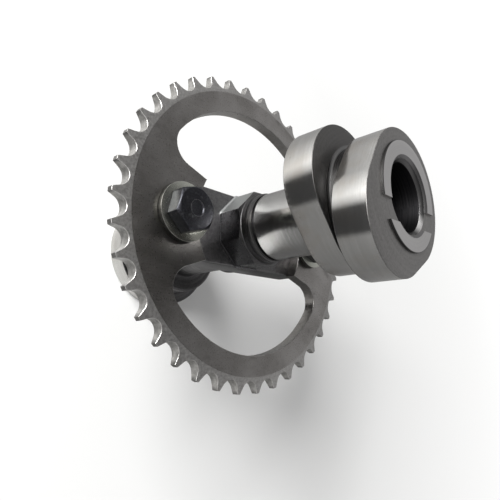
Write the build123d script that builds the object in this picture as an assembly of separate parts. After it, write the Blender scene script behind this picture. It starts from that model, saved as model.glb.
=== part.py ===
from build123d import *
from math import acos, asin, atan2, cos, degrees, hypot, radians, sin, sqrt, tan
import os

# Camshaft of a small chain-driven overhead-cam engine, with its chain sprocket bolted to the flange.
# Millimetres. The shaft axis is +Z, the far journal's end face is at Z = 0 and the cam lobes are at the top.
# The two arms of the flange, the two ears of the sprocket and the two bolts lie along X.

# Far end of the shaft
end_journal_d = 32.4
end_journal_length = 5.5
collar_d = 25.6
collar_length = 8.0
rear_neck_d = 16.6
rear_neck_length = 18.6
rear_root_cone = 1.2
edge_chamfer = 0.6
centre_hole_d = 4.0
centre_hole_depth = 4.5
centre_hole_tip_d = 0.6

# Flange that carries the sprocket
flange_width = 18.6
flange_length = 60.0
flange_thickness = 7.0
flange_edge = 0.5

# Eight-sided spanner section, turned down to the journal by a cone
octagon_across_flats = 18.2
octagon_length = 6.4
cone_base_d = 20.2
cone_end_d = 16.4
cone_length = 3.3
undercut_d = 15.6
undercut_width = 0.6

# Front bearing journal
journal_d = 16.6
journal_length = 16.5

# Cam lobes: each outline wraps a base circle and a smaller nose circle
base_circle_d = 28.0
nose_circle_d = 24.4
nose_offset = 6.8
lobe_width = 7.0
lobe_gap = 3.4
inner_lobe_angle = -36.0
outer_lobe_angle = 43.6
lobe_edge = 0.3
between_lobes_relief = 1.4
between_root_cone = 0.8
lobe_root_cone = 1.1

# Near end face and its bore
end_ring_d = 23.2
end_ring_height = 0.5
bore_d = 14.2
bore_depth = 15.0
bore_chamfer = 1.25
drill_point_angle = 118.0
drill_tip_d = 0.02

# Chain sprocket
tooth_count = 38
tooth_phase = 2.3
chain_pitch = 6.35
tooth_height = 3.1
tooth_gap_r = 2.4
tip_land = 0.9
sprocket_thickness = 3.2
tooth_bevel_depth = 0.8
bevel_start = 0.15
bevel_overrun = 1.0
opening_d = 62.3
pilot_d = 38.0
ear_width = 19.2
ear_flare_angle = 20.4
ear_fillet = 5.0

# Bolts and washers
bolt_spacing = 47.0
bolt_d = 6.0
bolt_length = 12.0
head_across_flats = 10.0
head_height = 4.0
head_crown_share = 0.95
head_crown_angle = 30.0
head_dimple_d = 3.6
head_dimple_depth = 0.35
bolt_tip_chamfer = 0.6
bolt_hole_clearance = 0.2
tapped_hole_clearance = 0.08
washer_d = 13.4
washer_thickness = 1.5
hole_chamfer = 0.4

# Stations along the shaft, each one from the sizes above
collar_z = end_journal_length
rear_neck_z = collar_z + collar_length
flange_back_z = rear_neck_z + rear_neck_length
flange_front_z = flange_back_z + flange_thickness
cone_z = flange_front_z + octagon_length
undercut_z = cone_z + cone_length
journal_z = undercut_z + undercut_width
inner_lobe_z = journal_z + journal_length
between_z = inner_lobe_z + lobe_width
outer_lobe_z = between_z + lobe_gap
end_face_z = outer_lobe_z + lobe_width
top_z = end_face_z + end_ring_height
washer_z = flange_front_z + sprocket_thickness
head_z = washer_z + washer_thickness


def turned_shaft():
    """Everything that comes off the lathe, as one section turned about the axis."""
    c = edge_chamfer
    between_r = base_circle_d / 2 - between_lobes_relief
    outline = [
        (0, 0),
        (end_journal_d / 2 - c, 0),
        (end_journal_d / 2, c),
        (end_journal_d / 2, collar_z - c),
        (end_journal_d / 2 - c, collar_z),
        (collar_d / 2, collar_z),
        (collar_d / 2, rear_neck_z - c),
        (collar_d / 2 - c, rear_neck_z),
        (rear_neck_d / 2 + rear_root_cone, rear_neck_z),
        (rear_neck_d / 2, rear_neck_z + rear_root_cone),
        (rear_neck_d / 2, flange_back_z - rear_root_cone),
        (rear_neck_d / 2 + rear_root_cone, flange_back_z),
        (rear_neck_d / 2, flange_back_z + flange_thickness / 2),
        (undercut_d / 2, flange_back_z + flange_thickness / 2),
        (undercut_d / 2, journal_z),
        (journal_d / 2, journal_z),
        (journal_d / 2, inner_lobe_z - lobe_root_cone),
        (journal_d / 2 + lobe_root_cone, inner_lobe_z),
        (journal_d / 2, inner_lobe_z + lobe_width / 2),
        (between_r, inner_lobe_z + lobe_width / 2),
        (between_r + between_root_cone, between_z),
        (between_r, between_z + between_root_cone),
        (between_r, outer_lobe_z - between_root_cone),
        (between_r + between_root_cone, outer_lobe_z),
        (between_r, outer_lobe_z + lobe_width / 2),
        (end_ring_d / 2, outer_lobe_z + lobe_width / 2),
        (end_ring_d / 2, top_z),
        (0, top_z),
    ]
    section = make_face(Plane.XZ * Polyline(outline, close=True))
    return revolve(section, Axis.Z, 360)


def flange():
    """Two-armed flange with round ends, tapped for the two bolts."""
    bar = extrude(SlotOverall(flange_length, flange_width), flange_thickness)
    bar = chamfer(bar.faces().sort_by(Axis.Z)[0].edges() + bar.faces().sort_by(Axis.Z)[-1].edges(), flange_edge)
    return Pos(0, 0, flange_back_z) * bar


def spanner_section():
    """Eight flats whose corners run out on the cone that leads down to the journal."""
    corner_r = octagon_across_flats / 2 / cos(radians(22.5))
    prism = extrude(RegularPolygon(corner_r, 8, rotation=22.5), octagon_length + cone_length)
    centred = (Align.CENTER, Align.CENTER, Align.MIN)
    blank = Cylinder(cone_base_d / 2, octagon_length, align=centred)
    blank += Pos(0, 0, octagon_length) * Cone(cone_base_d / 2, cone_end_d / 2, cone_length, align=centred)
    return Pos(0, 0, flange_front_z) * (prism & blank)


def lobe(angle):
    """One cam lobe, standing on Z = 0 with its nose towards the given angle."""
    base = Circle(base_circle_d / 2).edge()
    nose = (Pos(nose_offset, 0) * Circle(nose_circle_d / 2)).edge()
    solid = extrude(make_hull([base, nose]), lobe_width)
    rims = solid.faces().sort_by(Axis.Z)[0].edges() + solid.faces().sort_by(Axis.Z)[-1].edges()
    return Rot(0, 0, angle) * chamfer(rims, lobe_edge)


def bolt_places(z):
    return [Pos(side * bolt_spacing / 2, 0, z) for side in (-1, 1)]


def make_camshaft():
    shaft = turned_shaft() + flange() + spanner_section()
    shaft += Pos(0, 0, inner_lobe_z) * lobe(inner_lobe_angle)
    shaft += Pos(0, 0, outer_lobe_z) * lobe(outer_lobe_angle)
    centred = (Align.CENTER, Align.CENTER, Align.MAX)
    shaft -= Pos(0, 0, top_z) * Cylinder(bore_d / 2, bore_depth, align=centred)
    point_h = bore_d / 2 / tan(radians(drill_point_angle / 2))
    shaft -= Pos(0, 0, top_z - bore_depth) * Cone(drill_tip_d / 2, bore_d / 2, point_h, align=centred)
    mouth = Cone(bore_d / 2, bore_d / 2 + bore_chamfer, bore_chamfer, align=centred)
    shaft -= Pos(0, 0, top_z) * mouth
    on_floor = (Align.CENTER, Align.CENTER, Align.MIN)
    shaft -= Cone(centre_hole_d / 2, centre_hole_tip_d / 2, centre_hole_depth, align=on_floor)
    tapped_r = bolt_d / 2 + tapped_hole_clearance
    for place in bolt_places(flange_back_z):
        shaft -= place * Cylinder(tapped_r, flange_thickness, align=on_floor)
        shaft -= place * Cone(tapped_r + hole_chamfer, tapped_r, hole_chamfer, align=on_floor)
    return shaft


def tooth_profile():
    """Sprocket blank: a round seat in each gap, straight flanks and a small flat on each tip."""
    tip_r = chain_pitch / 2 * (0.6 + 1 / tan(radians(180 / tooth_count)))
    root_r = tip_r - tooth_height
    seat_at = root_r + tooth_gap_r
    half_step = radians(180 / tooth_count)
    corner_a = half_step - asin(tip_land / 2 / tip_r)
    corner = (tip_r * cos(corner_a), tip_r * sin(corner_a))
    reach = hypot(corner[0] - seat_at, corner[1])
    turn = atan2(corner[1], corner[0] - seat_at) + acos(tooth_gap_r / reach)
    seat_end = (seat_at + tooth_gap_r * cos(turn), tooth_gap_r * sin(turn))
    seat_mid = (root_r, 0)

    def around(point, angle):
        return (
            point[0] * cos(angle) - point[1] * sin(angle),
            point[0] * sin(angle) + point[1] * cos(angle),
        )

    lines = []
    for index in range(tooth_count):
        a = radians(tooth_phase + 360 / tooth_count * index)
        start = around((corner[0], -corner[1]), a)
        low = around((seat_end[0], -seat_end[1]), a)
        middle = around(seat_mid, a)
        high = around(seat_end, a)
        stop = around(corner, a)
        following = around((corner[0], -corner[1]), a + radians(360 / tooth_count))
        lines += [Line(start, low), ThreePointArc(low, middle, high), Line(high, stop), Line(stop, following)]
    return make_face(Wire(lines)), root_r, tip_r


def make_sprocket():
    profile, root_r, tip_r = tooth_profile()
    disc = extrude(profile, sprocket_thickness)
    bevel_r = root_r + bevel_start
    lift = tooth_bevel_depth * (tip_r + bevel_overrun - bevel_r) / (tip_r - bevel_r)
    section = [
        (0, 0),
        (bevel_r, 0),
        (tip_r + bevel_overrun, lift),
        (tip_r + bevel_overrun, sprocket_thickness - lift),
        (bevel_r, sprocket_thickness),
        (0, sprocket_thickness),
    ]
    disc &= revolve(make_face(Plane.XZ * Polyline(section, close=True)), Axis.Z, 360)

    flare = tan(radians(ear_flare_angle))
    pilot_x = sqrt((pilot_d / 2) ** 2 - (ear_width / 2) ** 2)
    far_x = opening_d
    near_half = ear_width / 2 - flare * pilot_x
    far_half = ear_width / 2 + flare * (far_x - pilot_x)
    ear = Polygon((0, -near_half), (far_x, -far_half), (far_x, far_half), (0, near_half), align=None)
    ear -= Circle(pilot_d / 2)
    opening = Circle(opening_d / 2) - ear - Rot(0, 0, 180) * ear
    rim_corners = [v for v in opening.vertices() if hypot(v.X, v.Y) > opening_d / 2 - 0.01]
    opening = fillet(rim_corners, ear_fillet)
    disc -= extrude(opening, sprocket_thickness)
    on_floor = (Align.CENTER, Align.CENTER, Align.MIN)
    for place in bolt_places(0):
        disc -= place * Cylinder(bolt_d / 2 + bolt_hole_clearance, sprocket_thickness, align=on_floor)
    return Pos(0, 0, flange_front_z) * disc


def make_bolt():
    """Hexagon-head bolt, head upwards, with the underside of its head at Z = 0."""
    on_floor = (Align.CENTER, Align.CENTER, Align.MIN)
    corner_r = head_across_flats / 2 / cos(radians(30))
    head = extrude(RegularPolygon(corner_r, 6), head_height)
    crown_r = head_across_flats / 2 * head_crown_share
    drop = (corner_r - crown_r) * tan(radians(head_crown_angle))
    blank = Cylinder(corner_r, head_height - drop, align=on_floor)
    blank += Pos(0, 0, head_height - drop) * Cone(corner_r, crown_r, drop, align=on_floor)
    head &= blank
    head -= Pos(0, 0, head_height - head_dimple_depth) * Cylinder(head_dimple_d / 2, head_dimple_depth, align=on_floor)
    shank = Cylinder(bolt_d / 2, bolt_length, align=on_floor)
    shank = chamfer(shank.faces().sort_by(Axis.Z)[0].edges(), bolt_tip_chamfer)
    return head + Pos(0, 0, -bolt_length) * shank


def make_washer():
    on_floor = (Align.CENTER, Align.CENTER, Align.MIN)
    disc = Cylinder(washer_d / 2, washer_thickness, align=on_floor)
    return disc - Cylinder(bolt_d / 2 + bolt_hole_clearance, washer_thickness, align=on_floor)


camshaft = make_camshaft()
sprocket = make_sprocket()
bolt = make_bolt()
washer = make_washer()
bolt_turns = (41, 15)
sprocket_bolts = Compound(
    [place * Rot(0, 0, turn) * bolt for place, turn in zip(bolt_places(head_z), bolt_turns)]
)
washers = Compound([place * washer for place in bolt_places(washer_z)])

nodes = {
    "camshaft": camshaft,
    "sprocket": sprocket,
    "sprocket_bolts": sprocket_bolts,
    "washers": washers,
}
os.makedirs("parts", exist_ok=True)
for name, shape in nodes.items():
    export_step(shape, os.path.join("parts", name + ".step"))
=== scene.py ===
from math import acos, asin, atan2, cos, hypot, pi, radians, sin, sqrt, tan

import bmesh
import bpy
import numpy as np
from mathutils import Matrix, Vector


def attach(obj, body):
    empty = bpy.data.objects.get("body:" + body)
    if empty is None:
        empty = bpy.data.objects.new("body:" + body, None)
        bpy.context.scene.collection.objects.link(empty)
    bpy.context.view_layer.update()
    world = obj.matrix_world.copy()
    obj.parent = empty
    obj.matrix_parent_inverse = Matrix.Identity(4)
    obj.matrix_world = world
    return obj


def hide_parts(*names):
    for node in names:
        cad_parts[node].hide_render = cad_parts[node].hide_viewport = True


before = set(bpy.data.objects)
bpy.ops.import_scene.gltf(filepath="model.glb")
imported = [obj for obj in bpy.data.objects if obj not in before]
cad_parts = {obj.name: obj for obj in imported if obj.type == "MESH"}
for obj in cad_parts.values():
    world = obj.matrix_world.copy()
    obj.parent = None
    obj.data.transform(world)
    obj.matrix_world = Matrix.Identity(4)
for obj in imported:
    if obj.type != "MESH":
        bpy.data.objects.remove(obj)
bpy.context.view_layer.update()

# Lengths in millimetres and turns in degrees, as the solids have them.
# The shaft axis is Z and the far journal stands on Z = 0.
MM_PER_M = 1000

# Points nearer than this, in metres, are merged
MERGE_M = 2e-7

FLANGE_BACK, FLANGE_FRONT = 32.1, 39.1
FLANGE_LENGTH, FLANGE_WIDTH, FLANGE_EDGE = 60.0, 18.6, 0.5

# Octagon: from the axis to a flat, its softened corners, the bead at its foot and the cone of its end bevel
OCTAGON_FLAT, OCTAGON_CORNER = 9.1, 0.10
BEAD_TOP, BEAD_END, BEAD_GROWTH, BEAD_LIMIT = 39.28, 39.5, 1.035, 10.1
BEVEL_RADII, BEVEL_HEIGHTS = (8.95, 9.93), (45.85, 45.4)

# Lobes: a base circle and a nose circle set out from the axis, and the eye that the shaft goes through
LOBE_WIDTH, LOBE_GAP, LOBE_EDGE = 7.0, 3.4, 0.14
INNER_LOBE = 65.9
OUTER_LOBE = INNER_LOBE + LOBE_WIDTH + LOBE_GAP
INNER_TURN, OUTER_TURN = -36.0, 43.6
BASE_CIRCLE, NOSE_CIRCLE, NOSE_REACH, LOBE_EYE = 14.0, 12.2, 6.8, 9.0

# Slot across the raised end ring: its turn, and the two lines that bound it
SLOT_TURN, SLOT_LOW, SLOT_HIGH = 1.8, 2.0, 6.2

# Teeth: how many, the chain's pitch and the turn of the first gap, then a tooth's height, the radius of
# the seat between two teeth and half of a tip's width
TEETH, CHAIN_PITCH, FIRST_GAP = 38, 6.35, 2.3
TOOTH_HEIGHT, SEAT_RADIUS, HALF_TIP = 3.1, 2.4, 0.45

# Sprocket plate: its thickness, the bevel's depth at the tips, how far inside the seats it starts, and the
# width of the worn edge
SPROCKET_THICKNESS, TOOTH_BEVEL, BEVEL_MARGIN, WORN_WIDTH = 3.2, 0.8, 0.9, 0.06

# Opening: its rim, the circle at the ears' ends, and half the width, the lean and the fillet of an ear
OPENING_RIM, PILOT_RADIUS = 31.15, 19.0
EAR_HALF, EAR_LEAN, EAR_FILLET = 9.6, 20.4, 5.0

# Bolts and washers: where they stand, half a head across its flats, and for each bolt its x and its turn
WASHER_BASE = FLANGE_FRONT + SPROCKET_THICKNESS
WASHER_THICKNESS = 1.5
HEAD_BASE = WASHER_BASE + WASHER_THICKNESS
HEAD_FLAT, HEAD_HEIGHT, CROWN_ANGLE = 4.65, 3.65, 30
BOLT_SPOTS = (("far", -23.5, 41.0), ("near", 23.5, 15.0))


# Node trees

class Nodes:
    """A node tree, with short ways to add to it."""

    def __init__(self, tree):
        self.tree = tree

    def node(self, kind, **settings):
        made = self.tree.nodes.new(kind)
        for key, value in settings.items():
            setattr(made, key, value)
        return made

    def link(self, source, target):
        self.tree.links.new(source, target)

    def put(self, value, socket):
        """Sets a number or a colour on a socket, or links an output to it."""
        if isinstance(value, (int, float)):
            socket.default_value = value
        elif isinstance(value, tuple):
            socket.default_value = value if len(value) == len(socket.default_value) else value + (1.0,)
        else:
            self.link(value, socket)

    def coordinates(self, kind="Object"):
        return self.node("ShaderNodeTexCoord").outputs[kind]

    def axes(self, vector):
        made = self.node("ShaderNodeSeparateXYZ")
        self.link(vector, made.inputs[0])
        return made.outputs

    def compute(self, operation, first, second=0.0):
        made = self.node("ShaderNodeMath", operation=operation)
        self.put(first, made.inputs[0])
        self.put(second, made.inputs[1])
        return made.outputs[0]

    def between(self, value, low, high, to_low=0.0, to_high=1.0):
        """Straight change from one number to another as value runs from low to high, held at both ends."""
        made = self.node("ShaderNodeMapRange", clamp=True)
        self.put(value, made.inputs["Value"])
        limits = {"From Min": low, "From Max": high, "To Min": to_low, "To Max": to_high}
        for socket, number in limits.items():
            made.inputs[socket].default_value = number
        return made.outputs["Result"]

    def ramp(self, value, stops):
        """Grey level along stops of (position, level), whose positions run from 0 to 1."""
        made = self.node("ShaderNodeValToRGB")
        self.link(value, made.inputs["Fac"])
        marks = made.color_ramp.elements
        for position, _ in stops[1:-1]:
            marks.new(position)
        for mark, (_, level) in zip(marks, stops):
            mark.color = (level, level, level, 1.0)
        return made.outputs["Color"]

    def surface(self, shader):
        self.link(shader, self.node("ShaderNodeOutputMaterial").inputs["Surface"])


class Finish(Nodes):
    """A procedural metal: its shader, and Object coordinates measured in millimetres."""

    def __init__(self, name, metallic=1.0):
        self.material = bpy.data.materials.new(name)
        self.material.use_nodes = True
        super().__init__(self.material.node_tree)
        self.shader = self.tree.nodes["Principled BSDF"]
        self.shader.inputs["Metallic"].default_value = metallic
        self.mm = self.mapped(self.coordinates(), (MM_PER_M, MM_PER_M, MM_PER_M))
        self.x, self.y, self.z = self.axes(self.mm)
        self.heights = []

    def mapped(self, vector, scale, turn=(0.0, 0.0, 0.0), shift=(0.0, 0.0, 0.0)):
        """A place turned, shifted and scaled along each axis, for streaks and scratches."""
        made = self.node("ShaderNodeMapping")
        made.inputs["Scale"].default_value = scale
        made.inputs["Rotation"].default_value = turn
        made.inputs["Location"].default_value = shift
        self.link(vector, made.inputs["Vector"])
        return made.outputs["Vector"]

    def polar(self, centre=(0.0, 0.0)):
        """Radius and angle about an upright axis."""
        dx = self.compute("SUBTRACT", self.x, centre[0])
        dy = self.compute("SUBTRACT", self.y, centre[1])
        squares = self.compute("ADD", self.compute("MULTIPLY", dx, dx), self.compute("MULTIPLY", dy, dy))
        return self.compute("SQRT", squares), self.compute("ARCTAN2", dy, dx)

    def noise(self, scale, detail, roughness, at=None):
        made = self.node("ShaderNodeTexNoise")
        made.inputs["Scale"].default_value = scale
        made.inputs["Detail"].default_value = detail
        made.inputs["Roughness"].default_value = roughness
        self.link(at or self.mm, made.inputs["Vector"])
        return made.outputs["Fac"]

    def lathe_lines(self, twist, along, out=1.0, detail=3.0, roughness=0.6):
        """Noise in cylinder coordinates about the shaft: angle, height and radius, each with its scale."""
        radius, angle = self.polar()
        made = self.node("ShaderNodeCombineXYZ")
        for socket, value, scale in zip(made.inputs, (angle, self.z, radius), (twist, along, out)):
            self.put(self.compute("MULTIPLY", value, scale), socket)
        return self.noise(1.0, detail, roughness, made.outputs[0])

    def scratches(self, turn, fineness=9.0):
        """Thin straight marks: noise squeezed across one direction, kept only where it peaks."""
        squeezed = self.mapped(self.mm, (0.12, fineness, 0.4), (0.0, 0.0, turn))
        return self.between(self.noise(1.0, 2.0, 0.6, squeezed), 0.64, 0.80)

    def blend(self, factor, first, second):
        made = self.node("ShaderNodeMix", data_type="RGBA")
        self.put(factor, made.inputs["Factor"])
        self.put(first, made.inputs[6])
        self.put(second, made.inputs[7])
        return made.outputs[2]

    def toned(self, pattern, low, high, dark, light):
        """Colour that runs from dark to light as the pattern runs from low to high."""
        return self.blend(self.between(pattern, low, high), dark, light)

    def over(self, tone, pattern, low, high, cover, colour):
        """A colour laid over tone, with a cover that grows from none as the pattern runs from low to high."""
        return self.blend(self.between(pattern, low, high, 0.0, cover), tone, colour)

    def colour(self, value):
        self.put(value, self.shader.inputs["Base Color"])

    def rough(self, value):
        self.put(value, self.shader.inputs["Roughness"])

    def relief(self, height, depth):
        """Adds a height in millimetres to the surface: the pattern times its depth."""
        self.heights.append(self.compute("MULTIPLY", height, depth / MM_PER_M))

    def brushed_round(self, strength):
        """Lathe grain: the grain runs round the shaft, along (-y, x, 0)."""
        self.shader.inputs["Anisotropic"].default_value = strength
        made = self.node("ShaderNodeCombineXYZ")
        self.put(self.compute("SUBTRACT", 0.0, self.y), made.inputs[0])
        self.put(self.x, made.inputs[1])
        level = self.node("ShaderNodeVectorMath", operation="NORMALIZE")
        self.link(made.outputs[0], level.inputs[0])
        self.link(level.outputs[0], self.shader.inputs["Tangent"])

    def done(self):
        if self.heights:
            total = self.heights[0]
            for extra in self.heights[1:]:
                total = self.compute("ADD", total, extra)
            bump = self.node("ShaderNodeBump")
            bump.inputs["Strength"].default_value = 1.0
            bump.inputs["Distance"].default_value = 1.0
            self.link(total, bump.inputs["Height"])
            self.link(bump.outputs["Normal"], self.shader.inputs["Normal"])
        return self.material


# Finishes

def sprocket_face():
    """Satin grey with clouds, stains and scratches, and a painted dark reflection on the near ear, beside the
    flange.
    """
    f = Finish("sprocket_face")
    painted_dark_reflection_spot = (19.5, 8.5)
    cloud = f.noise(0.09, 4.0, 0.6)
    grain = f.noise(2.6, 3.0, 0.7)
    tone = f.toned(cloud, 0.38, 0.62, (0.20, 0.19, 0.18), (0.29, 0.278, 0.268))
    tone = f.over(tone, grain, 0.35, 0.75, 0.35, (0.36, 0.345, 0.33))
    stained = f.noise(0.22, 5.0, 0.65, f.mapped(f.mm, (1.0, 1.0, 1.0), (0.0, 0.0, 0.4), (7.0, 3.0, 0.0)))
    stain = f.between(stained, 0.56, 0.68, 0.0, 0.45)
    tone = f.blend(stain, tone, (0.12, 0.113, 0.108))
    marks = f.compute("MAXIMUM", f.scratches(2.0, 7.0), f.scratches(-0.7, 11.0))
    marks = f.compute("MAXIMUM", f.scratches(0.5), marks)
    tone = f.blend(f.compute("MULTIPLY", marks, 0.5), tone, (0.46, 0.45, 0.43))
    # Painted dark reflection: the face is darkened round this spot on the near ear, beside the flange.
    tone = f.blend(f.between(f.polar(painted_dark_reflection_spot)[0], 4.0, 13.0, 0.72, 0.0), tone, (0.06, 0.058, 0.056))
    f.colour(tone)
    f.rough(f.compute("ADD", f.between(grain, 0.3, 0.7, 0.26, 0.34), f.compute("MULTIPLY", stain, 0.15)))
    f.relief(grain, 0.003)
    f.relief(marks, -0.004)
    return f.done()


def tooth_wall():
    """Rough and mottled between the teeth, darker at the tips."""
    f = Finish("tooth_wall", 0.7)
    grain = f.noise(1.2, 4.0, 0.65)
    fine = f.noise(5.0, 2.0, 0.6)
    tone = f.toned(grain, 0.35, 0.68, (0.30, 0.293, 0.28), (0.52, 0.51, 0.49))
    tone = f.over(tone, fine, 0.52, 0.8, 0.5, (0.20, 0.19, 0.18))
    f.colour(f.over(tone, f.polar()[0], 39.3, 40.05, 0.75, (0.12, 0.117, 0.113)))
    f.rough(f.between(grain, 0.3, 0.7, 0.32, 0.48))
    f.relief(grain, 0.03)
    return f.done()


def tooth_bevel():
    """Mottled grey where the bevel runs off the teeth."""
    f = Finish("tooth_bevel", 0.9)
    grain = f.noise(1.8, 4.0, 0.65)
    f.colour(f.toned(grain, 0.35, 0.68, (0.27, 0.262, 0.253), (0.42, 0.41, 0.398)))
    f.rough(f.between(grain, 0.3, 0.7, 0.32, 0.46))
    f.relief(grain, 0.015)
    return f.done()


def wear_and_highlight_edge(name, scale, start, dark, light, smooth, dull, metallic=1.0):
    """An edge rubbed bright in patches; on the bolts' dimple rim the brightness is a painted highlight."""
    f = Finish(name, metallic)
    wear = f.noise(scale, 3.0, 0.6)
    f.colour(f.toned(wear, start, 0.65, dark, light))
    f.rough(f.between(wear, 0.3, 0.7, smooth, dull))
    return f.done()


def ground_steel():
    """The bearing journal: bright, with fine grinding lines and faint brown patches."""
    f = Finish("ground_steel")
    lines = f.lathe_lines(0.5, 5.0, detail=4.0, roughness=0.7)
    patch = f.noise(0.16, 3.0, 0.5)
    tone = f.toned(lines, 0.3, 0.7, (0.60, 0.595, 0.585), (0.76, 0.755, 0.74))
    f.colour(f.over(tone, patch, 0.45, 0.7, 0.4, (0.60, 0.56, 0.51)))
    f.rough(f.compute("ADD", f.between(lines, 0.25, 0.75, 0.13, 0.24), f.between(patch, 0.4, 0.7, 0.0, 0.06)))
    f.relief(lines, 0.004)
    f.brushed_round(0.45)
    return f.done()


def lobe_steel():
    """The lobes' running faces: brighter and smoother than the journal, with a few dark specks."""
    f = Finish("lobe_steel")
    lines = f.lathe_lines(0.8, 4.0, detail=4.0, roughness=0.7)
    patch = f.noise(0.2, 4.0, 0.55)
    tone = f.toned(lines, 0.3, 0.7, (0.68, 0.67, 0.655), (0.82, 0.81, 0.79))
    tone = f.over(tone, patch, 0.45, 0.68, 0.5, (0.66, 0.60, 0.53))
    f.colour(f.over(tone, f.noise(1.3, 1.0, 0.4), 0.80, 0.84, 1.0, (0.08, 0.07, 0.065)))
    f.rough(f.compute("ADD", f.between(lines, 0.25, 0.75, 0.11, 0.16), f.between(patch, 0.4, 0.7, 0.0, 0.04)))
    f.relief(lines, 0.0015)
    f.brushed_round(0.3)
    return f.done()


def lobe_side_steel():
    """The lobes' flat sides, with turning rings. The inner lobe's side, below 75 mm, is darker: painted shade
    between the lobes.
    """
    f = Finish("lobe_side_steel")
    lines = f.lathe_lines(1.2, 1.0, 2.4)
    grain = f.noise(1.8, 3.0, 0.65)
    tone = f.toned(grain, 0.3, 0.7, (0.17, 0.165, 0.16), (0.27, 0.262, 0.255))
    tone = f.over(tone, lines, 0.4, 0.75, 0.3, (0.34, 0.33, 0.32))
    # Painted shade: the inner lobe's sides, below 75 mm, are darkened.
    f.colour(f.blend(f.between(f.z, 74.0, 75.0, 0.6, 0.0), tone, (0.03, 0.029, 0.028)))
    f.rough(f.between(grain, 0.3, 0.7, 0.38, 0.52))
    f.relief(lines, 0.006)
    f.relief(grain, 0.012)
    return f.done()


def end_ring_steel():
    """The raised ring's pale face, between a dark bevel inside and a dark edge outside, whose darkness is
    painted shade.
    """
    f = Finish("end_ring_steel")
    radius = f.polar()[0]
    lines = f.lathe_lines(0.3, 0.0, 6.0)
    tone = f.toned(lines, 0.3, 0.7, (0.44, 0.43, 0.425), (0.53, 0.52, 0.51))
    tone = f.toned(radius, 8.37, 8.43, (0.18, 0.176, 0.176), tone)
    # Painted shade: the outer edge and wall, past 11.2 mm, are darkened.
    f.colour(f.over(tone, radius, 11.2, 11.24, 1.0, (0.07, 0.069, 0.068)))
    f.rough(f.between(lines, 0.3, 0.7, 0.32, 0.42))
    f.relief(lines, 0.003)
    f.brushed_round(0.2)
    return f.done()


def drum_steel():
    """The far journal: ground, but duller than the near one."""
    f = Finish("drum_steel")
    lines = f.lathe_lines(0.5, 4.0, detail=4.0, roughness=0.7)
    patch = f.noise(0.2, 3.0, 0.5)
    tone = f.toned(lines, 0.3, 0.7, (0.43, 0.425, 0.41), (0.58, 0.575, 0.56))
    f.colour(f.over(tone, patch, 0.45, 0.7, 0.4, (0.33, 0.31, 0.285)))
    f.rough(f.between(lines, 0.25, 0.75, 0.18, 0.28))
    f.relief(lines, 0.004)
    f.brushed_round(0.4)
    return f.done()


def turned_neck_steel():
    """The waisted neck between the lobes: dark, with turning lines."""
    f = Finish("turned_neck_steel")
    lines = f.lathe_lines(0.3, 5.0)
    f.colour(f.toned(lines, 0.32, 0.68, (0.095, 0.094, 0.093), (0.16, 0.158, 0.156)))
    f.rough(f.between(lines, 0.3, 0.7, 0.22, 0.34))
    f.relief(lines, 0.015)
    f.brushed_round(0.5)
    return f.done()


def bore_mouth_steel():
    """The bore's dark chamfer, with a painted highlight round the angle of 2.45 radians."""
    f = Finish("bore_mouth_steel")
    painted_highlight_angle = 2.45
    lines = f.lathe_lines(0.3, 3.0)
    tone = f.toned(lines, 0.3, 0.7, (0.075, 0.073, 0.073), (0.12, 0.118, 0.117))
    aside = f.compute("ABSOLUTE", f.compute("SUBTRACT", f.polar()[1], painted_highlight_angle))
    # Painted highlight: the chamfer is lightened near the angle of 2.45 radians.
    f.colour(f.blend(f.between(aside, 0.10, 0.42, 0.9, 0.0), tone, (0.60, 0.59, 0.58)))
    f.rough(f.between(lines, 0.3, 0.7, 0.24, 0.34))
    f.relief(lines, 0.004)
    f.brushed_round(0.6)
    return f.done()


def bore_steel():
    """Nearly black inside the bore: painted shade in the recess."""
    f = Finish("bore_steel")
    lines = f.lathe_lines(0.4, 3.0)
    # Painted shade: the bore's colour is kept nearly black.
    f.colour(f.toned(lines, 0.3, 0.7, (0.012, 0.012, 0.013), (0.024, 0.023, 0.024)))
    f.rough(f.between(lines, 0.3, 0.7, 0.40, 0.50))
    f.relief(lines, 0.006)
    return f.done()


def dark_turned_steel():
    """Dark turned surfaces: collar, rear neck, and the neck above the octagon."""
    f = Finish("dark_turned_steel")
    lines = f.lathe_lines(0.3, 2.2)
    grain = f.noise(2.2, 3.0, 0.6)
    tone = f.toned(lines, 0.35, 0.65, (0.065, 0.064, 0.066), (0.135, 0.132, 0.132))
    f.colour(f.over(tone, grain, 0.4, 0.8, 0.4, (0.20, 0.194, 0.19)))
    f.rough(f.between(grain, 0.3, 0.7, 0.30, 0.44))
    f.relief(lines, 0.03)
    f.brushed_round(0.5)
    return f.done()


def flange_steel():
    """The flange's dark, slightly cast skin."""
    f = Finish("flange_steel")
    grain = f.noise(1.1, 4.0, 0.65)
    fine = f.noise(4.0, 2.0, 0.6)
    tone = f.toned(grain, 0.3, 0.7, (0.105, 0.103, 0.106), (0.20, 0.196, 0.196))
    f.colour(f.over(tone, fine, 0.5, 0.85, 0.5, (0.28, 0.275, 0.27)))
    f.rough(f.between(grain, 0.3, 0.7, 0.34, 0.5))
    f.relief(grain, 0.05)
    f.relief(fine, 0.01)
    return f.done()


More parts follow.
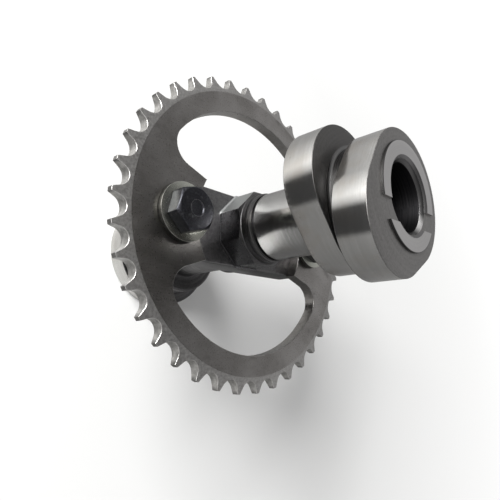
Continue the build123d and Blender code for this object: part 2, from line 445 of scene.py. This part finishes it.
def spanner_flat_steel():
    """Dark flats, and a pale one that faces -45 degrees, where x - y is sqrt(2) * OCTAGON_FLAT, 12.87 mm: the
    pale flat is painted light, a lit side among shaded ones.
    """
    f = Finish("spanner_flat_steel")
    pale_start, pale_full = 12.6, 12.78
    lines = f.noise(1.0, 3.0, 0.6, f.mapped(f.mm, (0.5, 0.5, 5.0)))
    cloud = f.noise(0.5, 2.0, 0.5)
    tone = f.toned(lines, 0.3, 0.7, (0.085, 0.084, 0.087), (0.105, 0.103, 0.106))
    tone = f.over(tone, cloud, 0.45, 0.7, 0.5, (0.06, 0.059, 0.062))
    # Painted light: the flat that faces -45 degrees is given a pale colour, as if lit.
    pale = f.between(f.compute("SUBTRACT", f.x, f.y), pale_start, pale_full)
    painted_light_tone = f.toned(lines, 0.3, 0.7, (0.40, 0.41, 0.405), (0.46, 0.47, 0.465))
    f.colour(f.blend(pale, tone, painted_light_tone))
    f.rough(f.compute("ADD", f.between(cloud, 0.3, 0.7, 0.22, 0.30), f.compute("MULTIPLY", pale, 0.2)))
    f.relief(lines, 0.002)
    return f.done()


def black_oxide():
    """Black bolt heads, greyer where they are rubbed."""
    f = Finish("black_oxide", 0.85)
    grain = f.noise(2.4, 3.0, 0.65)
    tone = f.toned(grain, 0.3, 0.7, (0.020, 0.020, 0.024), (0.050, 0.051, 0.058))
    f.colour(f.over(tone, f.noise(0.7, 3.0, 0.6), 0.58, 0.72, 0.5, (0.13, 0.13, 0.135)))
    f.rough(f.between(grain, 0.3, 0.7, 0.28, 0.44))
    f.relief(grain, 0.02)
    return f.done()


def zinc_plate():
    """The washers' dull, slightly green plate."""
    f = Finish("zinc_plate")
    grain = f.noise(3.2, 4.0, 0.65)
    cloud = f.noise(0.35, 3.0, 0.6)
    tone = f.toned(grain, 0.3, 0.7, (0.33, 0.335, 0.295), (0.42, 0.425, 0.385))
    f.colour(f.over(tone, cloud, 0.5, 0.7, 0.5, (0.47, 0.465, 0.41)))
    f.rough(f.between(grain, 0.3, 0.7, 0.20, 0.28))
    f.relief(grain, 0.004)
    return f.done()


def washer_side():
    """The washers' walls, darkened as painted shade."""
    f = Finish("washer_side")
    grain = f.noise(1.5, 3.0, 0.6)
    # Painted shade: the walls are much darker than the plated faces.
    f.colour(f.toned(grain, 0.3, 0.7, (0.045, 0.046, 0.042), (0.10, 0.10, 0.09)))
    f.rough(f.between(grain, 0.3, 0.7, 0.36, 0.5))
    f.relief(grain, 0.02)
    return f.done()


steel = {
    "sprocket_face": sprocket_face(),
    "tooth_wall": tooth_wall(),
    "tooth_bevel": tooth_bevel(),
    "tooth_edge": wear_and_highlight_edge("tooth_edge", 1.4, 0.35, (0.36, 0.35, 0.335), (0.64, 0.63, 0.61), 0.28, 0.42,
                            metallic=0.8),
    "opening_edge": wear_and_highlight_edge("opening_edge", 0.5, 0.4, (0.26, 0.25, 0.24), (0.46, 0.45, 0.435), 0.32, 0.44),
    "ground_steel": ground_steel(),
    "lobe_steel": lobe_steel(),
    "lobe_side": lobe_side_steel(),
    "end_ring": end_ring_steel(),
    "bore": bore_steel(),
    "bore_mouth": bore_mouth_steel(),
    "drum": drum_steel(),
    "turned_neck": turned_neck_steel(),
    "dark_turned": dark_turned_steel(),
    "flange": flange_steel(),
    "spanner_flats": spanner_flat_steel(),
    "black_oxide": black_oxide(),
    # Painted highlight: the lighter band on the bolts' dimple rim.
    "painted_highlight_oxide": wear_and_highlight_edge("painted_highlight_oxide", 1.6, 0.35, (0.07, 0.07, 0.075), (0.24, 0.24, 0.245),
                              0.28, 0.40),
    "zinc": zinc_plate(),
    "washer_rim": wear_and_highlight_edge("washer_rim", 0.8, 0.35, (0.30, 0.30, 0.275), (0.52, 0.52, 0.48), 0.30, 0.42),
    "washer_side": washer_side(),
}


# Surfaces

def skin(name, rows, row_finish, node, closed_rows=False, crease=28.0):
    """One piece from a grid of points in millimetres: rows of points, each row a closed ring.

    rows has the shape (rings, points round, 3). row_finish gives the finish of the band above each ring.
    Points that fall together, at poles and along middle lines, are merged, and the faces are turned outwards.
    """
    finishes = list(dict.fromkeys(row_finish))
    count, round_count = rows.shape[:2]
    index = np.arange(count * round_count).reshape(count, round_count)
    lower = index if closed_rows else index[:-1]
    upper = np.roll(index, -1, axis=0) if closed_rows else index[1:]
    quads = np.stack([lower, np.roll(lower, -1, axis=1), np.roll(upper, -1, axis=1), upper], axis=-1)
    slots = np.repeat(np.array([finishes.index(f) for f in row_finish]), round_count)
    mesh = bpy.data.meshes.new(name)
    mesh.from_pydata((rows.reshape(-1, 3) / MM_PER_M).tolist(), [], quads.reshape(-1, 4).tolist())
    for finish in finishes:
        mesh.materials.append(steel[finish])
    mesh.polygons.foreach_set("material_index", slots.astype(np.int32))
    made = bmesh.new()
    made.from_mesh(mesh)
    bmesh.ops.remove_doubles(made, verts=made.verts, dist=MERGE_M)
    bmesh.ops.dissolve_degenerate(made, edges=made.edges, dist=MERGE_M)
    bmesh.ops.recalc_face_normals(made, faces=made.faces)
    made.to_mesh(mesh)
    made.free()
    mesh.polygons.foreach_set("use_smooth", np.ones(len(mesh.polygons), dtype=bool))
    mesh.set_sharp_from_angle(angle=radians(crease))
    piece = bpy.data.objects.new(name, mesh)
    bpy.context.scene.collection.objects.link(piece)
    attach(piece, "root")
    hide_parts(node)
    return piece


def rings(profile, a, centre_x=0.0):
    """Rings about an upright axis: x = centre_x + r cos a, y = r sin a, z = h, for each (r, h) in profile.

    A radius or a height is one number, or one for each angle.
    """
    return np.stack([np.stack([centre_x + r * np.cos(a), r * np.sin(a), h + 0 * a], axis=-1)
                     for r, h in profile])


def round_angles(steps):
    """Angles once round, without the last, which is the first again."""
    return np.linspace(0, 2 * pi, steps, endpoint=False)


def banded(*bands):
    """A profile as (radius, height, finish) from bands of (finish, then its points)."""
    return [(r, h, finish) for finish, *points in bands for r, h in points]


def turned(name, outline, node, steps, centre_x=0.0, closed=False):
    """A profile of (radius, height, finish of the band above) turned about an upright axis."""
    rows = rings([point[:2] for point in outline], round_angles(steps), centre_x)
    finish = [point[2] for point in outline]
    return skin(name, rows, finish if closed else finish[:-1], node, closed)


def outward(line):
    """Unit normals of a closed line that runs anticlockwise, turned to its outer side."""
    ahead = np.roll(line, -1, axis=0) - np.roll(line, 1, axis=0)
    normal = np.stack([ahead[:, 1], -ahead[:, 0]], axis=-1)
    return normal / np.linalg.norm(normal, axis=1)[:, None]


def layered(name, outer, middle, levels, node, hollow=False):
    """A plate from an outline and a middle line.

    Each level is (share of the way out, inward set, height, finish of the band above). A point lies
    at middle + share * (outer - inset * normal - middle), with the normal of the outline pointing out.
    """
    share, inset, height = (np.array([level[i] for level in levels])[:, None, None] for i in range(3))
    flat = middle[None] + share * (outer[None] - inset * outward(outer)[None] - middle[None])
    rows = np.concatenate([flat, height + 0 * flat[:, :, :1]], axis=-1)
    finish = [level[3] for level in levels]
    return skin(name, rows, finish if hollow else finish[:-1], node, hollow)


def rounded(low, high, radius, face, side):
    """Levels of a plate whose edges are rounded over a quarter circle below and above.

    face is the finish of both flat sides and of the edges, and side that of the wall between them.
    """
    arc = np.linspace(0, pi / 2, 5)
    below = [(1.0, radius * (1 - sin(t)), low + radius * (1 - cos(t)), face) for t in arc]
    above = [(1.0, radius * (1 - cos(t)), high - radius * (1 - sin(t)), face) for t in arc]
    below[-1] = below[-1][:3] + (side,)
    return [(0.0, 0.0, low, face)] + below + above + [(0.0, 0.0, high, face)]


# The shaft as it comes off the lathe, from the centre hole in the far end to the drill point in the bore

shaft_outline = banded(
    ("dark_turned", (0.0, 4.5), (0.3, 4.5), (2.0, 0.0), (15.6, 0.0)),
    ("drum", (16.0, 0.12), (16.2, 0.6), (16.2, 4.9)),
    ("dark_turned",
     (16.0, 5.38), (15.6, 5.5), (12.8, 5.5), (12.8, 12.9), (12.2, 13.5), (9.5, 13.5), (8.8, 13.7),
     (8.42, 14.2), (8.3, 14.8), (8.3, 30.9), (8.42, 31.5), (8.8, 31.9), (9.5, 32.12), (9.0, 36.0),
     (7.8, 48.7), (7.8, 49.38)),
    ("ground_steel", (8.1, 49.4), (8.24, 49.45), (8.3, 49.6)),
    ("dark_turned", (8.3, 64.8), (8.45, 65.3), (8.8, 65.68), (9.4, 65.92)),
    ("turned_neck",
     (9.4, 70.0), (13.4, 71.5), (13.4, 72.92), (12.95, 73.08), (12.7, 73.35), (12.6, 73.75),
     (12.6, 75.45), (12.7, 75.85), (12.95, 76.12), (13.4, 76.28), (13.4, 78.0), (9.3, 80.0)),
    ("lobe_side", (9.3, 83.29)),
    ("bore_mouth", (7.84, 83.29)),
    ("bore", (7.13, 82.57), (7.1, 82.5), (7.1, 68.8), (0.0, 64.53)),
)
turned("shaft", shaft_outline, "camshaft", 360)


# Raised ring round the bore, with a shallow slot beside the middle

def ring_part(name, line, beyond):
    """One part of the raised ring: its section carried round from one end of a slot line to the other.

    At radius r a slot line lies at the angle asin(line / r), so the part ends on straight edges.
    beyond says whether the part is the one past the line or the one on the shaft's side of it.
    """
    section = np.array([(7.9, 83.0), (7.9, 83.31), (8.35, 83.76), (8.42, 83.8),
                        (11.2, 83.8), (11.32, 83.74), (11.35, 83.62), (11.35, 83.0)])
    r, h = section[:, 0], section[:, 1]
    lean = np.arcsin(line / r)
    start = lean if beyond else pi - lean
    stop = pi - lean if beyond else 2 * pi + lean
    u = np.linspace(0, 1, 181)[:, None]
    a = radians(SLOT_TURN) + start * (1 - u) + stop * u
    rows = np.stack([r * np.cos(a), r * np.sin(a), h + 0 * a], axis=-1)
    ends = rows[[0, -1]].mean(axis=1, keepdims=True) + 0 * rows[:2]
    rows = np.concatenate([ends[:1], rows, ends[1:]])
    return skin(name, rows, ["end_ring"] * (len(rows) - 1), "camshaft", crease=20.0)


ring_part("end_ring_large", SLOT_LOW, False)
ring_part("end_ring_small", SLOT_HIGH, True)


# Flange

def slot_outline(length, width, steps=60, straight_steps=40):
    """A bar with round ends, run anticlockwise: half circles about (+-(length - width) / 2, 0)."""
    reach, radius = (length - width) / 2, width / 2
    a = np.linspace(-pi / 2, pi / 2, steps)
    right = np.stack([reach + radius * np.cos(a), radius * np.sin(a)], axis=-1)
    straight = np.linspace(1, 0, straight_steps)[1:-1] * 2 * reach - reach
    top = np.stack([straight, radius + 0 * straight], axis=-1)
    outer = np.concatenate([right, top, -right, -top])
    middle = np.stack([np.clip(outer[:, 0], -reach, reach), 0 * outer[:, 1]], axis=-1)
    return outer, middle


flange_outer, flange_middle = slot_outline(FLANGE_LENGTH, FLANGE_WIDTH)
flange_levels = rounded(FLANGE_BACK, FLANGE_FRONT, FLANGE_EDGE, "flange", "flange")
layered("flange", flange_outer, flange_middle, flange_levels, "camshaft")


# Spanner section: eight flats with an end bevel, and the grooved neck above them

def softened(polygon, cut, share):
    """Radii of a polygon with softened corners: what stands past the largest less cut is scaled by share."""
    soft = polygon.max() - cut
    return np.where(polygon > soft, soft + (polygon - soft) * share, polygon)


def spanner_section():
    """Octagon of radius OCTAGON_FLAT / cos(a from the nearest flat), a low bead at its foot, and the neck.

    The octagon's end bevel is a cone between the two BEVEL_RADII. At each angle one ring lies where the
    octagon meets that cone. Above it the neck has two grooves.
    """
    a = round_angles(8 * 36)
    nearest = (a + pi / 8) % (pi / 4) - pi / 8
    octagon = softened(OCTAGON_FLAT / np.cos(nearest), OCTAGON_CORNER, 0.5)
    bead = np.minimum(octagon * BEAD_GROWTH, BEAD_LIMIT)
    meets = np.interp(octagon, BEVEL_RADII, BEVEL_HEIGHTS)
    foot = 39.0
    neck = [(8.95, 45.85), (8.86, 46.0), (8.78, 47.1), (8.52, 47.22), (8.52, 47.4), (8.70, 47.52),
            (8.64, 48.15), (8.45, 48.27), (8.42, 48.45), (8.40, 48.55), (8.38, 48.8), (0.0, 48.8)]
    flats = [(0.0, foot), (bead, foot), (bead, BEAD_TOP), (octagon, BEAD_END), (octagon, meets)]
    bands = ["spanner_flats"] * (len(flats) - 1) + ["dark_turned"] * len(neck)
    return skin("spanner_section", rings(flats + neck, a), bands, "camshaft", crease=14.0)


spanner_section()


# Cam lobes

def lobe_outline(turn, steps=180, flank_steps=26):
    """The hull of the base circle and the nose circle, which is set out by NOSE_REACH.

    Both circles share the normal directions, so a point with normal angle n lies on the nose circle
    where n is within acos((BASE_CIRCLE - NOSE_CIRCLE) / NOSE_REACH) of the nose, and on the base circle
    elsewhere. The two flanks are the straight lines between.
    """
    contact = acos((BASE_CIRCLE - NOSE_CIRCLE) / NOSE_REACH)
    flank = np.linspace(0, 1, flank_steps)[1:-1][:, None]
    a = np.linspace(-contact, contact, steps)
    nose = np.stack([NOSE_REACH + NOSE_CIRCLE * np.cos(a), NOSE_CIRCLE * np.sin(a)], axis=-1)
    b = np.linspace(contact, 2 * pi - contact, steps)
    base = np.stack([BASE_CIRCLE * np.cos(b), BASE_CIRCLE * np.sin(b)], axis=-1)
    rising = nose[-1] * (1 - flank) + base[0] * flank
    falling = base[-1] * (1 - flank) + nose[0] * flank
    shape = np.concatenate([nose, rising, base, falling])
    c, s = cos(radians(turn)), sin(radians(turn))
    return shape @ np.array([[c, s], [-s, c]])


lobes = (("inner_lobe", INNER_TURN, INNER_LOBE), ("outer_lobe", OUTER_TURN, OUTER_LOBE))
for lobe_name, lobe_turn, lobe_low in lobes:
    lobe_edge = lobe_outline(lobe_turn)
    lobe_eye = LOBE_EYE * lobe_edge / np.linalg.norm(lobe_edge, axis=1)[:, None]
    lobe_levels = rounded(lobe_low, lobe_low + LOBE_WIDTH, LOBE_EDGE, "lobe_side", "lobe_steel")
    layered(lobe_name, lobe_edge, lobe_eye, lobe_levels, "camshaft", hollow=True)


# Sprocket

def tooth_line():
    """The outline of the teeth: in each gap a round seat, two flanks and half of two tips.

    The tip circle has the radius CHAIN_PITCH / 2 * (0.6 + cot(half a step)). Each flank touches the seat.
    """
    step = 2 * pi / TEETH
    tip_r = CHAIN_PITCH / 2 * (0.6 + 1 / tan(step / 2))
    root_r = tip_r - TOOTH_HEIGHT
    seat_at = root_r + SEAT_RADIUS
    corner_a = step / 2 - asin(HALF_TIP / tip_r)
    corner = np.array([tip_r * cos(corner_a), tip_r * sin(corner_a)])
    reach = hypot(corner[0] - seat_at, corner[1])
    swing = atan2(corner[1], corner[0] - seat_at) + acos(SEAT_RADIUS / reach)
    t = np.linspace(2 * pi - swing, swing, 19)
    seat = np.stack([seat_at + SEAT_RADIUS * np.cos(t), SEAT_RADIUS * np.sin(t)], axis=-1)
    up = np.linspace(0, 1, 5)[1:][:, None]
    rise = seat[-1] * (1 - up) + corner * up
    fall = rise[::-1] * np.array([1, -1])
    gap = np.concatenate([fall, seat, rise])
    turns = radians(FIRST_GAP) + np.arange(TEETH) * step
    c, s = np.cos(turns)[:, None], np.sin(turns)[:, None]
    x, y = gap[None, :, 0], gap[None, :, 1]
    line = np.stack([c * x - s * y, s * x + c * y], axis=-1).reshape(-1, 2)
    return line, root_r, tip_r


def opening_line(angles, grow=0.0):
    """The opening's edge for each outer angle: the rim circle, a fillet, the ear's side and its hollow end.

    One quarter is worked out as points against angle and the others mirror it, so that no line from
    the opening to the teeth leaves the plate. grow sets the whole edge back into the plate. The sample
    nearest to each corner of an ear is put on the corner.
    """
    rim, pilot, fillet_r, lean = OPENING_RIM, PILOT_RADIUS, EAR_FILLET, radians(EAR_LEAN)
    pilot_x = sqrt(pilot ** 2 - EAR_HALF ** 2)
    along, across = np.array([cos(lean), sin(lean)]), np.array([-sin(lean), cos(lean)])
    offset = EAR_HALF * cos(lean) - pilot_x * sin(lean)
    centre = across * (offset + fillet_r) + along * sqrt((rim - fillet_r) ** 2 - (offset + fillet_r) ** 2)
    corner = across * (offset - grow) + along * sqrt((pilot + grow) ** 2 - (offset - grow) ** 2)
    touch_side = centre - (fillet_r + grow) * across
    touch_rim = centre * (rim + grow) / (rim - fillet_r)
    start = atan2(touch_side[1] - centre[1], touch_side[0] - centre[0])
    stop = atan2(touch_rim[1] - centre[1], touch_rim[0] - centre[0])
    corner_a = atan2(corner[1], corner[0])
    rim_a = atan2(touch_rim[1], touch_rim[0])
    folded = np.abs((angles + pi / 2) % pi - pi / 2)
    end_a, side_a = radians(16.0), radians(24.0)
    for ear_corner in (end_a, pi - end_a, end_a - pi, -end_a):
        folded[np.argmin(np.abs((angles - ear_corner + pi) % (2 * pi) - pi))] = end_a
    u_end = np.clip(folded / end_a, 0, 1)[:, None]
    u_side = np.clip((folded - end_a) / (side_a - end_a), 0, 1)[:, None]
    u_turn = np.clip((folded - side_a) / (rim_a - side_a), 0, 1)
    ear_end = (pilot + grow) * np.concatenate([np.cos(corner_a * u_end), np.sin(corner_a * u_end)], axis=1)
    ear_side = corner * (1 - u_side) + touch_side * u_side
    swing = start + (stop - start) * u_turn
    fillet = centre + (fillet_r + grow) * np.stack([np.cos(swing), np.sin(swing)], axis=-1)
    rest = (rim + grow) * np.stack([np.cos(folded), np.sin(folded)], axis=-1)
    at = folded[:, None]
    quarter = np.where(at < rim_a, fillet, rest)
    quarter = np.where(at < side_a, ear_side, quarter)
    quarter = np.where(at < end_a, ear_end, quarter)
    wrapped = (angles + pi) % (2 * pi) - pi
    mirror_x = np.where(np.abs(wrapped) > pi / 2, -1.0, 1.0)
    mirror_y = np.where(wrapped < 0, -1.0, 1.0)
    return quarter * np.stack([mirror_x, mirror_y], axis=-1)


def sprocket():
    """Closed section carried round the teeth: opening edge, face, bevel, rubbed edge, tooth wall and back."""
    teeth, root_r, tip_r = tooth_line()
    angles = np.arctan2(teeth[:, 1], teeth[:, 0])
    unit = teeth / np.linalg.norm(teeth, axis=1)[:, None]
    bevel_start = root_r - BEVEL_MARGIN
    shoulder = unit * (bevel_start - 0.25)
    crease = unit * bevel_start
    inset = teeth - WORN_WIDTH * outward(teeth)

    def lift(points):
        """Height lost on the bevel, straight from its start to the tip."""
        r = np.linalg.norm(points, axis=1)
        return np.clip((r - bevel_start) / (tip_r - bevel_start), 0, None) * TOOTH_BEVEL

    t = SPROCKET_THICKNESS
    level = np.full(len(teeth), t)
    upper = [
        (opening_line(angles), level - 0.13, "opening_edge"),
        (opening_line(angles, 0.05), level - 0.04, "opening_edge"),
        (opening_line(angles, 0.13), level, "sprocket_face"),
        (shoulder, level, "sprocket_face"),
        (crease, level, "tooth_bevel"),
        (inset, t - lift(inset), "tooth_edge"),
        (teeth, t - WORN_WIDTH - lift(teeth), "tooth_wall"),
    ]
    lower = [(points, t - height) for points, height, _ in upper[::-1]]
    section = [(points, height) for points, height, _ in upper] + lower
    finish = [band for _, _, band in upper]
    finish += ["tooth_edge", "tooth_bevel", "sprocket_face", "sprocket_face", "opening_edge", "opening_edge",
               "sprocket_face"]
    rows = np.stack([np.concatenate([p, FLANGE_FRONT + h[:, None]], axis=1) for p, h in section])
    return skin("sprocket_plate", rows, finish, "sprocket", closed_rows=True, crease=20.0)


sprocket()


# Bolts and washers

def bolt_head(name, x, turn):
    """Six flats under a crown, with a shallow dimple in the top and a plain shank below.

    The side's radius is HEAD_FLAT / cos(a from the nearest flat). The crown starts at 0.95 of HEAD_FLAT
    and falls at CROWN_ANGLE. Heights are counted from the head's base.
    """
    a = round_angles(6 * 40)
    nearest = (a - radians(turn)) % (pi / 3) - pi / 6
    hexagon = softened(HEAD_FLAT / np.cos(nearest), 0.12, 0.4)
    crown = HEAD_FLAT * 0.95
    slope = tan(radians(CROWN_ANGLE))
    fall = np.maximum(hexagon - crown, 0) * slope
    inner_fall = np.maximum(hexagon - 0.1 - crown, 0) * slope
    top = HEAD_HEIGHT
    profile = [
        (0.0, -12.0), (2.4, -12.0), (3.0, -11.4), (3.0, 0.0), (hexagon - 0.15, 0.0), (hexagon, 0.15),
        (hexagon, top - fall - 0.08), (hexagon - 0.1, top - inner_fall - 0.02), (crown, top - 0.015),
        (crown - 0.2, top), (1.9, top), (1.8, top - 0.05), (1.62, top - 0.28), (1.2, top - 0.35),
        (0.0, top - 0.35),
    ]
    rows = rings([(r, HEAD_BASE + h) for r, h in profile], a, x)
    # The band on the dimple's rim, the eleventh, carries a painted highlight.
    bands = ["black_oxide"] * 10 + ["painted_highlight_oxide"] + ["black_oxide"] * 3
    return skin(name, rows, bands, "sprocket_bolts", crease=24.0)


washer_outline = banded(
    ("washer_side", (3.2, 0.0), (6.45, 0.0), (6.62, 0.06), (6.7, 0.25)),
    ("washer_rim", (6.7, 1.41), (6.67, 1.47)),
    ("zinc", (6.6, 1.5), (3.35, 1.5)),
    ("washer_side", (3.2, 1.35)),
)
for side, spot, turn in BOLT_SPOTS:
    bolt_head("bolt_" + side, spot, turn)
    raised = [(r, WASHER_BASE + h, finish) for r, h, finish in washer_outline]
    turned("washer_" + side, raised, "washers", 160, centre_x=spot, closed=True)


# Materials of the solids themselves, which stay behind the pieces that stand for them

solid_finish = {
    "camshaft": "dark_turned",
    "sprocket": "sprocket_face",
    "sprocket_bolts": "black_oxide",
    "washers": "zinc",
}
for node_name, finish_name in solid_finish.items():
    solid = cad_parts[node_name]
    solid.data.materials.clear()
    solid.data.materials.append(steel[finish_name])


# Floor, room, dark paper, lamp and camera

def plain_material(name):
    """A material with an empty node tree."""
    material = bpy.data.materials.new(name)
    material.use_nodes = True
    material.node_tree.nodes.clear()
    return material, Nodes(material.node_tree)


def sheet(name, corners, faces, material):
    """A flat sheet from its corners in metres and its faces."""
    mesh = bpy.data.meshes.new(name)
    mesh.from_pydata(corners, [], faces)
    mesh.materials.append(material)
    made = bpy.data.objects.new(name, mesh)
    bpy.context.scene.collection.objects.link(made)
    return made


def floor_paper():
    """Pale paper: part of its tone is its own and grows with the distance, and part takes the shadow."""
    paper, nodes = plain_material("floor_paper")
    ray = nodes.node("ShaderNodeLightPath").outputs
    seen = nodes.compute("MAXIMUM", ray["Is Camera Ray"], ray["Is Glossy Ray"])
    seen = nodes.compute("MAXIMUM", seen, ray["Is Transmission Ray"])
    away = nodes.node("ShaderNodeVectorMath", operation="LENGTH")
    nodes.link(nodes.coordinates(), away.inputs[0])
    glow = nodes.between(away.outputs["Value"], 0.14, 0.75, 0.0, 0.80)
    own = nodes.node("ShaderNodeEmission")
    nodes.put((1.0, 1.0, 1.0), own.inputs["Color"])
    nodes.put(nodes.compute("MULTIPLY", seen, glow), own.inputs["Strength"])
    lit = nodes.node("ShaderNodeBsdfDiffuse")
    nodes.put((0.83, 0.83, 0.82), lit.inputs["Color"])
    both = nodes.node("ShaderNodeAddShader")
    nodes.link(own.outputs[0], both.inputs[0])
    nodes.link(lit.outputs[0], both.inputs[1])
    nodes.surface(both.outputs[0])
    return paper


FLOOR_REACH = 6
floor_corners = [(x * FLOOR_REACH, y * FLOOR_REACH, 0) for x, y in ((-1, -1), (1, -1), (1, 1), (-1, 1))]
sheet("floor", floor_corners, [(0, 1, 2, 3)], floor_paper())

# Room: its brightness against the upward part of the direction, from level to straight up
ROOM_LEVELS = ((0.0, 0.36), (0.28, 0.42), (0.50, 0.80), (0.66, 0.54), (0.80, 0.10), (1.0, 0.20))
world = bpy.data.worlds.new("studio")
bpy.context.scene.world = world
world.use_nodes = True
room = world.node_tree.nodes["Background"]
room_nodes = Nodes(world.node_tree)
room_nodes.put((0.99, 0.99, 1.0), room.inputs["Color"])
upward = room_nodes.axes(room_nodes.coordinates("Generated"))["Z"]
room_nodes.link(room_nodes.ramp(upward, ROOM_LEVELS), room.inputs["Strength"])

# Dark paper: how much of it there is, against the angle about the shaft
CARD_COVER = ((-180, 0.6), (-150, 0.62), (-110, 0.68), (-85, 0.64), (-60, 0.46), (-33, 0.16), (-20, 0.50),
              (-10, 0.97), (32, 0.97), (40, 0.78), (110, 0.8), (160, 0.7), (180, 0.6))
CARD_INSIDE, CARD_OUTSIDE, CARD_HEIGHT, CARD_STEPS = 0.044, 1.2, 0.0004, 97


def dark_card():
    """Dark paper round the object, seen in the metal only.

    It lies just over the floor, from 44 mm out. It covers nearly all towards the near bolt, six to eight
    tenths on the other sides, and least on the lamp's side, near -33 degrees.
    """
    card, nodes = plain_material("dark_card")
    at = nodes.axes(nodes.coordinates())
    turn = nodes.between(nodes.compute("ARCTAN2", at["Y"], at["X"]), -pi, pi)
    cover = nodes.ramp(turn, [((where + 180) / 360, level) for where, level in CARD_COVER])
    clear = nodes.node("ShaderNodeBsdfTransparent")
    paper = nodes.node("ShaderNodeBsdfDiffuse")
    nodes.put((0.01, 0.01, 0.0105), paper.inputs["Color"])
    both = nodes.node("ShaderNodeMixShader")
    nodes.link(cover, both.inputs[0])
    nodes.link(clear.outputs[0], both.inputs[1])
    nodes.link(paper.outputs[0], both.inputs[2])
    nodes.surface(both.outputs[0])

    a = np.linspace(0, 2 * pi, CARD_STEPS)
    rows = rings([(CARD_INSIDE, CARD_HEIGHT), (CARD_OUTSIDE, CARD_HEIGHT)], a)
    index = np.arange(2 * CARD_STEPS).reshape(2, CARD_STEPS)
    quads = np.stack([index[0, :-1], index[1, :-1], index[1, 1:], index[0, 1:]], axis=-1)
    made = sheet("dark_card", rows.reshape(-1, 3).tolist(), quads.tolist(), card)
    made.visible_camera = False
    made.visible_diffuse = False
    made.visible_shadow = False


dark_card()

# Lamp: a wide soft rectangle, in metres and watts
LAMP_PLACE, LAMP_TARGET = Vector((0.872, -0.545, 0.618)), Vector((0, 0, 0.03))
LAMP_WIDTH, LAMP_HEIGHT, LAMP_POWER = 0.85, 0.42, 27.0
lamp_data = bpy.data.lights.new("key_lamp", "AREA")
lamp_data.shape = "RECTANGLE"
lamp_data.size = LAMP_WIDTH
lamp_data.size_y = LAMP_HEIGHT
lamp_data.energy = LAMP_POWER
lamp = bpy.data.objects.new("key_lamp", lamp_data)
lamp.location = LAMP_PLACE
lamp.rotation_euler = (LAMP_TARGET - LAMP_PLACE).to_track_quat("-Z", "Y").to_euler()
lamp.visible_camera = False
bpy.context.scene.collection.objects.link(lamp)

# Camera, as it was fitted to the photograph: picture size, focal length and middle in pixels
PHOTO_SIZE, FOCAL_PX, MIDDLE_PX, SENSOR_MM = 500, 453.31, (259.829, 256.702), 36.0
view = bpy.data.cameras.new("photo_camera")
view.sensor_fit = "HORIZONTAL"
view.sensor_width = SENSOR_MM
view.lens = FOCAL_PX / PHOTO_SIZE * SENSOR_MM
view.shift_x = (PHOTO_SIZE / 2 - MIDDLE_PX[0]) / PHOTO_SIZE
view.shift_y = (MIDDLE_PX[1] - PHOTO_SIZE / 2) / PHOTO_SIZE
view.clip_start = 0.005
view.clip_end = 30.0
camera = bpy.data.objects.new("photo_camera", view)
bpy.context.scene.collection.objects.link(camera)
camera.rotation_mode = "QUATERNION"
camera.location = (0.0837154, 0.0285348, 0.1183069)
camera.rotation_quaternion = (-0.0352247, 0.4076130, 0.0892849, 0.9080964)
bpy.context.scene.camera = camera
bpy.context.scene.view_settings.view_transform = "Standard"
